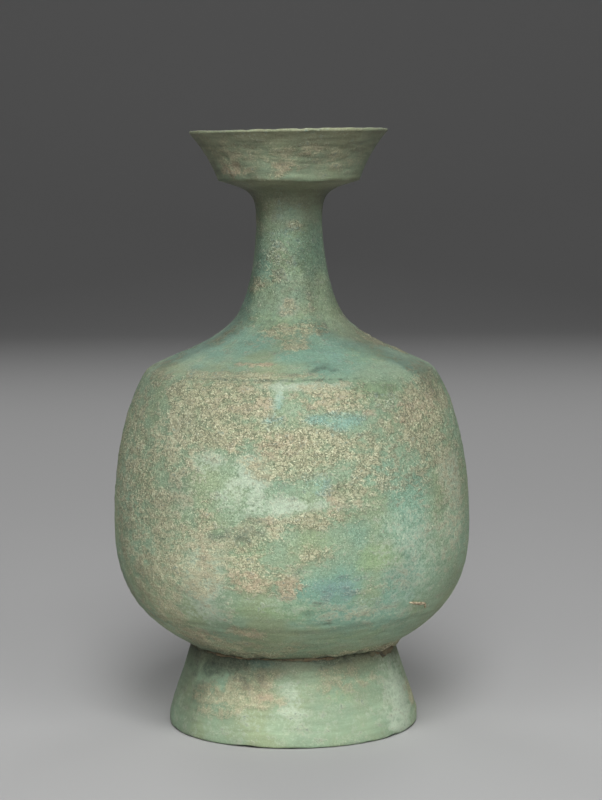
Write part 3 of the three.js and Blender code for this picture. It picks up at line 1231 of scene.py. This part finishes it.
def bend_sliver(mesh):
    """Sets the rod on the outline, thins it to both ends and hooks its right end down."""
    points = values_of(mesh.vertices, "co", 3)
    azimuth = azimuth_of(points)
    share = (azimuth - SLIVER_FROM) / SLIVER_TURN
    middle = SLIVER_TOP - SLIVER_DROP * share
    radius = np.hypot(points[:, 0], points[:, 1]) / MM
    from_middle = np.stack((radius - outline_radius(SLIVER_TOP), points[:, 2] / MM - middle), 1)
    thick = smooth(0, SLIVER_TAPER[0], share) * smooth(1, SLIVER_TAPER[1], share)
    thick = SLIVER_TIP + (1 - SLIVER_TIP) * thick
    uneven = 1 + SLIVER_UNEVENNESS * noise_field(points, SLIVER_NOISE)
    from_middle *= (thick * uneven)[:, None]
    middle = middle - SLIVER_HOOK * smooth(SLIVER_HOOK_FROM, 1, share)
    radius = outline_radius(middle) - SLIVER_SUNK + from_middle[:, 0]
    points[:, 2] = (middle + from_middle[:, 1]) * MM
    turn = np.radians(azimuth)
    points[:, 0] = radius * np.sin(turn) * MM
    points[:, 1] = -radius * np.cos(turn) * MM
    mesh.vertices.foreach_set("co", points.ravel())
    mesh.update()


sliver = add_sliver()
bend_sliver(sliver.data)
print("sliver", [round(x / MM, 1) for x in sliver.dimensions])

# %% [markdown]
# Bronze patina is no paint but a stack of minerals: green malachite over red cuprite, blue azurite
# where water stood, pale tin oxide where it is smooth, and soil cemented on top. All of it is dull.
# The shader starts from the greens, lays oxide and soil over them, and then the blues and dark
# stains that come through. The pale layer also paints two highlights on the foot, and the layer of
# dark stains also paints shade in the groove under the shoulder and on the foot's top. Noise of
# real grain size frays every layer, so the covers kept on the mesh only say where, and the noise
# says how finely.

# %% Palette
SAGE = "#8EA285"
BLUE_GREEN = "#7EA38F"
OLIVE_GREEN = "#919B75"
MOSS_GREEN = "#8EA87D"
OLIVE = "#918E72"
DEEP_GREEN = "#7C9378"
# Mint also paints the two highlights on the foot
MINT = "#B2C0AB"
SOIL_OLIVE = "#9DA385"
SOIL_TAN = "#ABA588"
CREAM = "#C3BF9D"
PINK = "#B79F87"
TURQUOISE_BLUE = "#85AFA3"
VIOLET_BLUE = "#708B8C"
# This green also paints shade in the groove under the shoulder and on the foot's top
STAIN_AND_SHADE_GREEN = "#53685A"
PIT_DARK = "#4E5845"
FLECK = "#CFD2B8"

# %% Sizes of the grain, in millimetres, and how strongly each kind shows
PATCH_SIZE = 30.0
MOTTLE_SIZE = 7.0
SPECKLE_SIZE = 2.0
GRAIN_SIZE = 0.75
TURNING_SIZE = 2.2
CREVICE_SIZE = 3.0
TURNING_STRETCH = 0.13
GRAIN_CONTRAST = 1.15
SPECKLE_CONTRAST = 0.8
TURNING_CONTRAST = 1.1
BARE_GRIT = 0.42
CRUST_GRIT = 0.4
PALE_CALM = 0.4


def per(size):
    """The texture scale, in cycles per metre, that gives marks of a size in millimetres."""
    return 1000 / size


# %% [markdown]
# Every layer works the same way. A cover from the mesh and some weighted noise are added up to a
# reach. Where the reach passes one threshold the layer starts, and at a second one it is full. So
# one table describes the whole stack, from the bare greens up to the dark stains and their painted
# shade. The cover called none is nought all over, and the soil's colour is a mix that is made
# below.

# %% The layers of the patina, from the bare greens outwards
Layer = namedtuple("Layer", "cover patch mottle speckle grain starts full strength colour")
LAYERS = (
    Layer("blue", 1.6, 0, 0, 0, 0.6, 1.7, 1.0, BLUE_GREEN),
    Layer("none", -1.0, 0, 0, 0, -0.5, -0.36, 0.5, OLIVE_GREEN),
    Layer("grit", 0, -2.6, 0, 0, -0.7, 0.1, 0.25, DEEP_GREEN),
    Layer("olive", 0, 0.8, 0, 0, 0.4, 1.5, 1.0, OLIVE),
    Layer("moss", 0, 1.2, 0.8, 0, 1.15, 1.9, 0.75, MOSS_GREEN),
    # The pale layer also paints two highlights on the foot
    Layer("pale", 0, 2.0, 1.6, 0.3, 2.0, 2.8, 0.85, MINT),
    Layer("crust", 0, 2.2, 1.4, 0.8, 2.32, 3.02, 0.85, "soil"),
    Layer("warm", 0, 2.0, 1.6, 0.5, 2.3, 3.2, 0.6, PINK),
    Layer("violet", 0, 1.4, 1.0, 0, 1.4, 2.2, 0.7, VIOLET_BLUE),
    Layer("turquoise", 0, 1.8, 1.5, 0, 1.8, 2.6, 0.75, TURQUOISE_BLUE),
    # The dark stains, with painted shade in the groove under the shoulder and on the foot's top
    Layer("stain_and_shade", 0, 2.0, 1.8, 0.5, 2.3, 3.2, 0.75, STAIN_AND_SHADE_GREEN),
)
Noise = namedtuple("Noise", "name size detail roughness along_axis")


def noises_of(tree, stretch):
    """The noises that all layers share. A stretch draws the mottling out, as turning did."""
    place = add(tree, "TexCoord", {}, "Object")
    found = {}
    for noise in (
        Noise("patch", PATCH_SIZE, 4, 0.5, 1),
        Noise("mottle", MOTTLE_SIZE, 5, 0.6, stretch),
        Noise("speckle", SPECKLE_SIZE, 3, 0.65, 1),
        Noise("grain", GRAIN_SIZE, 2, 0.75, 1),
        Noise("crevice", CREVICE_SIZE, 3, 0.7, 1),
    ):
        drawn = add(tree, "Mapping", {"Vector": place, "Scale": (1, 1, noise.along_axis)})
        found[noise.name] = add(tree, "TexNoise", {
            "Vector": drawn,
            "Scale": per(noise.size),
            "Detail": noise.detail,
            "Roughness": noise.roughness,
        })
    squeeze = (TURNING_STRETCH, TURNING_STRETCH, 1)
    lathe = add(tree, "Mapping", {"Vector": place, "Scale": squeeze})
    found["turning"] = add(tree, "TexNoise", {
        "Vector": lathe,
        "Scale": per(TURNING_SIZE),
        "Detail": 3,
    })
    return found


def lay(tree, colour, layer, covers, noises, soil):
    """Lays one layer over a colour. Returns the new colour and the layer's share."""
    reach = covers.get(layer.cover, 0.0)
    for name in ("patch", "mottle", "speckle", "grain"):
        weight = getattr(layer, name)
        if weight:
            weighed = {0: noises[name], 1: weight, 2: reach}
            reach = add(tree, "Math", weighed, operation="MULTIPLY_ADD")
    share = add(tree, "MapRange", {
        "Value": reach,
        "From Min": layer.starts,
        "From Max": layer.full,
        "To Max": layer.strength,
    }, interpolation_type="SMOOTHSTEP")
    above = soil if layer.colour == "soil" else layer.colour
    over = {SHARE: share, BELOW: colour, ABOVE: above}
    return add(tree, "Mix", over, MIXED_COLOUR, data_type="RGBA"), share


# %% Cemented soil
TAN_STARTS = 0.4
TAN_FULL = 0.58
CREAM_STARTS = 0.46
CREAM_FULL = 0.68
CREAM_STRENGTH = 0.8


def soil_colour(tree, mottle, grain):
    """Cemented soil: olive to tan from place to place, with cream grains in it."""
    tan = add(tree, "MapRange", {"Value": mottle, "From Min": TAN_STARTS, "From Max": TAN_FULL})
    colours = {SHARE: tan, BELOW: SOIL_OLIVE, ABOVE: SOIL_TAN}
    soil = add(tree, "Mix", colours, MIXED_COLOUR, data_type="RGBA")
    cream = add(tree, "MapRange", {
        "Value": grain,
        "From Min": CREAM_STARTS,
        "From Max": CREAM_FULL,
        "To Max": CREAM_STRENGTH,
    })
    grains = {SHARE: cream, BELOW: soil, ABOVE: CREAM}
    return add(tree, "Mix", grains, MIXED_COLOUR, data_type="RGBA")


# %% Flecks, pits and crevices
NOISE_MIDDLE = 0.5
Mark = namedtuple("Mark", "noise starts full strength colour")
MARKS = (
    Mark("grain", 0.56, 0.68, 0.9, FLECK),
    Mark("grain", 0.44, 0.32, 0.7, PIT_DARK),
    Mark("speckle", 0.38, 0.28, 0.8, PIT_DARK),
    Mark("from_crevice", 0.045, 0.01, 0.9, PIT_DARK),
)


def pitted(tree, colour, noises, lively):
    """Pale flecks, dark pits and fine crevices, each as strong as the surface is lively."""
    away = add(tree, "Math", {0: noises["crevice"], 1: NOISE_MIDDLE}, operation="SUBTRACT")
    found = {**noises, "from_crevice": add(tree, "Math", {0: away}, operation="ABSOLUTE")}
    for mark in MARKS:
        share = add(tree, "MapRange", {
            "Value": found[mark.noise],
            "From Min": mark.starts,
            "From Max": mark.full,
            "To Max": mark.strength,
        }, interpolation_type="SMOOTHSTEP")
        share = add(tree, "Math", {0: share, 1: lively}, operation="MULTIPLY")
        over = {SHARE: share, BELOW: colour, ABOVE: mark.colour}
        colour = add(tree, "Mix", over, MIXED_COLOUR, data_type="RGBA")
    return colour


# %% The play of light and dark
def brightness(tree, covers, noises, lively):
    """The zone's tone, played up and down by the turning lines, the grain and the speckle."""
    light = covers["tone"]
    for noise, share, contrast in (
        ("turning", covers["turned"], TURNING_CONTRAST),
        ("grain", lively, GRAIN_CONTRAST),
        ("speckle", lively, SPECKLE_CONTRAST),
    ):
        swing = add(tree, "Math", {0: noises[noise], 1: NOISE_MIDDLE}, operation="SUBTRACT")
        swing = add(tree, "Math", {0: swing, 1: share}, operation="MULTIPLY")
        swing = add(tree, "Math", {0: swing, 1: contrast, 2: 1.0}, operation="MULTIPLY_ADD")
        light = add(tree, "Math", {0: light, 1: swing}, operation="MULTIPLY")
    return light


# %% The grain that stands up, as a bump too fine for the mesh
BUMP_DEPTH = 0.6
BUMP_STRENGTH = 0.6
BUMP_PARTS = (("grain", 1.0), ("speckle", 0.8), ("mottle", 0.9), ("turning", 0.5))
BUMP_GAIN = 0.7
BARE_BUMP = 0.4
CRUST_BUMP = 0.8
GRIT_BUMP = 0.7


def bumps(tree, noises, crust, grit):
    """A bumped normal, rough on crust and grit and gentle on the bare patina."""
    height = 0.0
    for name, weight in BUMP_PARTS:
        weighed = {0: noises[name], 1: weight, 2: height}
        height = add(tree, "Math", weighed, operation="MULTIPLY_ADD")
    raised = add(tree, "Math", {0: crust, 1: CRUST_BUMP, 2: BARE_BUMP}, operation="MULTIPLY_ADD")
    raised = add(tree, "Math", {0: grit, 1: GRIT_BUMP, 2: raised}, operation="MULTIPLY_ADD")
    raised = add(tree, "Math", {0: raised, 1: BUMP_GAIN}, operation="MULTIPLY")
    height = add(tree, "Math", {0: height, 1: raised}, operation="MULTIPLY")
    return add(tree, "Bump", {
        "Height": height,
        "Strength": BUMP_STRENGTH,
        "Distance": BUMP_DEPTH * MM,
    })


# %% How lively the surface is
def liveliness(tree, shares, covers):
    """How strongly grain and pits show: more in crust and grit, less where oxide is smooth."""
    crusty = {0: shares["crust"], 1: CRUST_GRIT, 2: BARE_GRIT}
    lively = add(tree, "Math", crusty, operation="MULTIPLY_ADD")
    lively = add(tree, "Math", {0: lively, 1: covers["grit"]}, operation="MULTIPLY")
    calm = add(tree, "Math", {0: shares["pale"], 1: -PALE_CALM, 2: 1.0}, operation="MULTIPLY_ADD")
    return add(tree, "Math", {0: lively, 1: calm}, operation="MULTIPLY")


# %% The patina
BARE_ROUGHNESS = 0.66
CRUST_ROUGHNESS = 0.92
PATINA_SPECULAR = 0.35
VESSEL_STRETCH = 1.8
FOOT_STRETCH = 1.4


def patina(name, stretch):
    """Dull corroded bronze: greens and blues under pale tin oxide and a crust of soil."""
    material = new_material(name)
    tree = material.node_tree
    noises = noises_of(tree, stretch)
    covers = {}
    for cover in (*KINDS, *ZONE_VALUES):
        covers[cover] = add(tree, "Attribute", {}, "Fac", attribute_name=cover)
    soil = soil_colour(tree, noises["mottle"], noises["grain"])
    colour = SAGE
    shares = {}
    for layer in LAYERS:
        colour, shares[layer.cover] = lay(tree, colour, layer, covers, noises, soil)
    lively = liveliness(tree, shares, covers)
    colour = pitted(tree, colour, noises, lively)
    light = brightness(tree, covers, noises, lively)
    shader = add(tree, "BsdfPrincipled", {
        "Base Color": add(tree, "HueSaturation", {"Color": colour, "Value": light}),
        "Roughness": add(tree, "MapRange", {
            "Value": shares["crust"],
            "To Min": BARE_ROUGHNESS,
            "To Max": CRUST_ROUGHNESS,
        }),
        "Specular IOR Level": PATINA_SPECULAR,
        "Normal": bumps(tree, noises, shares["crust"], covers["grit"]),
    })
    add(tree, "OutputMaterial", {"Surface": shader})
    return material


vessel_piece.data.materials.append(patina("corroded_bronze_vessel", VESSEL_STRETCH))
foot_ring_piece.data.materials.append(patina("corroded_bronze_foot", FOOT_STRETCH))
print("patina nodes", len(vessel_piece.data.materials[0].node_tree.nodes))

# %% [markdown]
# The bead is soft solder, tin and lead, that corroded to a brown and greenish crumb with dark
# fissures. The sliver is clay set hard. Both are matt, so they need only a noise or two of
# their real grain size between their own colours, and the solder a bump for its crumbs.

# %% Old solder
SOLDER_GREEN = "#686D57"
SOLDER_BROWN = "#7D6E55"
SOLDER_DARK = "#40423A"
SOLDER_CRUMB_SIZE = 3.0
SOLDER_PATCH_SIZE = 14.0
BROWN_STARTS = 0.42
BROWN_FULL = 0.6
FISSURES_START = 0.5
FISSURES_FULL = 0.36
SOLDER_BUMP = 0.8
MATT = 0.9


def old_solder():
    """Tin solder gone brown and grey-green in the ground: matt, crumbly and fissured."""
    material = new_material("corroded_tin_solder")
    tree = material.node_tree
    place = add(tree, "TexCoord", {}, "Object")
    crumbs = add(tree, "TexNoise", {
        "Vector": place,
        "Scale": per(SOLDER_CRUMB_SIZE),
        "Detail": 5,
        "Roughness": 0.7,
    })
    patch = add(tree, "TexNoise", {"Vector": place, "Scale": per(SOLDER_PATCH_SIZE), "Detail": 3})
    brown = add(tree, "MapRange", {
        "Value": patch,
        "From Min": BROWN_STARTS,
        "From Max": BROWN_FULL,
    })
    colours = {SHARE: brown, BELOW: SOLDER_GREEN, ABOVE: SOLDER_BROWN}
    colour = add(tree, "Mix", colours, MIXED_COLOUR, data_type="RGBA")
    dark = add(tree, "MapRange", {
        "Value": crumbs,
        "From Min": FISSURES_START,
        "From Max": FISSURES_FULL,
    })
    fissures = {SHARE: dark, BELOW: colour, ABOVE: SOLDER_DARK}
    colour = add(tree, "Mix", fissures, MIXED_COLOUR, data_type="RGBA")
    shader = add(tree, "BsdfPrincipled", {
        "Base Color": colour,
        "Roughness": MATT,
        "Normal": add(tree, "Bump", {
            "Height": crumbs,
            "Strength": SOLDER_BUMP,
            "Distance": BUMP_DEPTH * MM,
        }),
    })
    add(tree, "OutputMaterial", {"Surface": shader})
    return material


# %% Hard soil
CLAY_DARK = "#8F8169"
CLAY_PALE = "#CFC1A2"
CLAY_GRAIN_SIZE = 1.6
PALE_GRAINS_START = 0.4
PALE_GRAINS_FULL = 0.6


def hard_soil():
    """Clay that set hard on the metal: matt, tan and a little pink."""
    material = new_material("hardened_clay_soil")
    tree = material.node_tree
    place = add(tree, "TexCoord", {}, "Object")
    grain = add(tree, "TexNoise", {"Vector": place, "Scale": per(CLAY_GRAIN_SIZE), "Detail": 4})
    pale = add(tree, "MapRange", {
        "Value": grain,
        "From Min": PALE_GRAINS_START,
        "From Max": PALE_GRAINS_FULL,
    })
    colours = {SHARE: pale, BELOW: CLAY_DARK, ABOVE: CLAY_PALE}
    shader = add(tree, "BsdfPrincipled", {
        "Base Color": add(tree, "Mix", colours, MIXED_COLOUR, data_type="RGBA"),
        "Roughness": MATT,
    })
    add(tree, "OutputMaterial", {"Surface": shader})
    return material


bead.data.materials.append(old_solder())
sliver.data.materials.append(hard_soil())
print("materials", sorted(material.name for material in bpy.data.materials))

# %% [markdown]
# Each piece rides on the one body that the bottle is, and stands for the solid that it dresses.

# %% Riding and replacing
for piece, node, slot in (
    (vessel_piece, "vessel", "vessel_patina"),
    (foot_ring_piece, "foot_ring", "foot_patina"),
    (bead, None, "foot_patina"),
    (sliver, None, "vessel_patina"),
):
    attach(piece, "root")
    if node:
        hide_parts(node)
